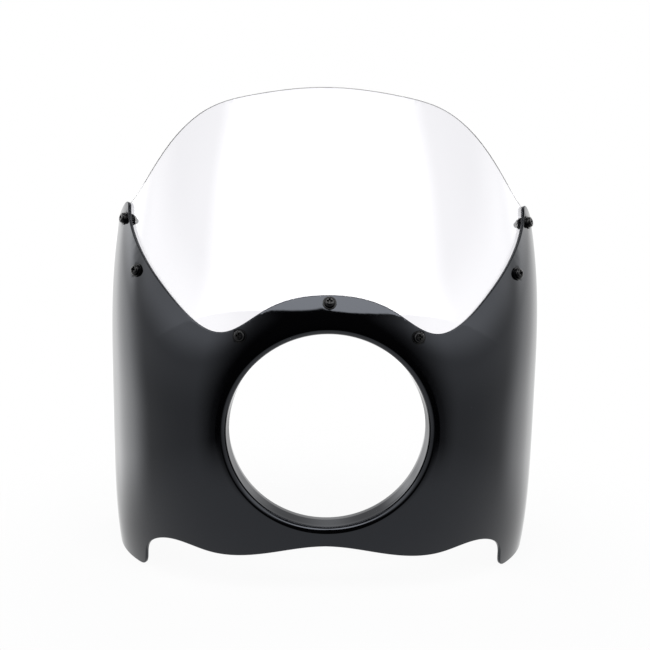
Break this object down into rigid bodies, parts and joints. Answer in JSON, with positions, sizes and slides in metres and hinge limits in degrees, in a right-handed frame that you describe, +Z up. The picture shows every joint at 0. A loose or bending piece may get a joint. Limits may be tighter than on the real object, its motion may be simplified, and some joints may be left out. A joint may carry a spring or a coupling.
{
  "type": "headlight cowl",
  "caption": "Gloss-black moulded cowl round a motorbike's round headlight, with a beaded opening, swept cheeks, level feet and a clear screen screwed behind its upper edge.",
  "frame": {"origin": "on the headlight's axis, at the front end of the opening's straight seat", "axes": "-Y points forward out of the opening, +Z is up, and +X is to the right as seen from the front"},
  "size_m": [0.4044, 0.2058, 0.4383],
  "materials": {
    "cowl": "polished black moulding",
    "screen": "clear acrylic sheet",
    "screws": "black-coated steel",
    "washers": "black nylon",
    "nuts": "black-coated steel"
  },
  "bodies": {
    "root": {"cowl_shell": "cowl", "windscreen": "screen", "screen_screws": "screws", "outer_washers": "washers", "inner_washers": "washers", "lock_nuts": "nuts"}
  },
  "joints": []
}
